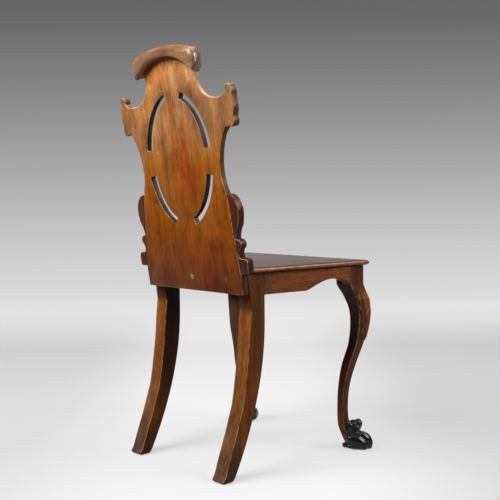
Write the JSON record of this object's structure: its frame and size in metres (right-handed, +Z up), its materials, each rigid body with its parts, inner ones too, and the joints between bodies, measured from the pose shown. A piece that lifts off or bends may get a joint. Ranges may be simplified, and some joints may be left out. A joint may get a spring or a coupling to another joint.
{
  "type": "hall chair",
  "caption": "Carved oak hall chair with a pierced shaped board back, an arched crest, a moulded plank seat, cabriole front legs on paw feet and sabre rear legs.",
  "frame": {"origin": "on the floor, under the middle of the chair's outer box", "axes": "+Z up, the sitter looks along -Y, so the board back stands on the +Y side; +X is the sitter's left"},
  "size_m": [0.4464, 0.4654, 0.9177],
  "materials": {
    "oak_back": "polished golden brown oak with an upright grain",
    "oak_carved": "polished darker oak, carved, with worn bright arrises",
    "oak_frame": "polished dark brown oak",
    "oak_legs": "polished brown oak, lighter on the worn faces",
    "oak_seat": "waxed oak with a soft gloss",
    "ebonised": "black stained and polished",
    "raw_wood": "unfinished",
    "steel": "old dull steel"
  },
  "bodies": {
    "root": {"back_panel": "oak_back", "back_plug_left": "raw_wood", "back_plug_middle": "raw_wood", "back_plug_right": "raw_wood", "back_screw_left": "steel", "back_screw_middle": "steel", "back_screw_right": "steel", "corner_block_front_left": "raw_wood", "corner_block_front_right": "raw_wood", "corner_block_rear_left": "raw_wood", "corner_block_rear_right": "raw_wood", "crest_dowel_left": "raw_wood", "crest_dowel_middle": "raw_wood", "crest_dowel_right": "raw_wood", "crest_rail": "oak_carved", "ear_left": "oak_carved", "ear_right": "oak_carved", "front_leg_left": "oak_legs", "front_leg_right": "oak_legs", "front_paw_left": "ebonised", "front_paw_right": "ebonised", "front_rail": "oak_frame", "lower_scroll_left": "oak_carved", "lower_scroll_right": "oak_carved", "paw_dowel_left": "raw_wood", "paw_dowel_right": "raw_wood", "rear_brace": "oak_frame", "rear_leg_left": "oak_legs", "rear_leg_right": "oak_legs", "rear_rail": "oak_frame", "seat_board": "oak_seat", "seat_screw_front_left": "steel", "seat_screw_front_right": "steel", "seat_screw_rear_left": "steel", "seat_screw_rear_right": "steel", "side_rail_left": "oak_frame", "side_rail_right": "oak_frame"}
  },
  "joints": []
}
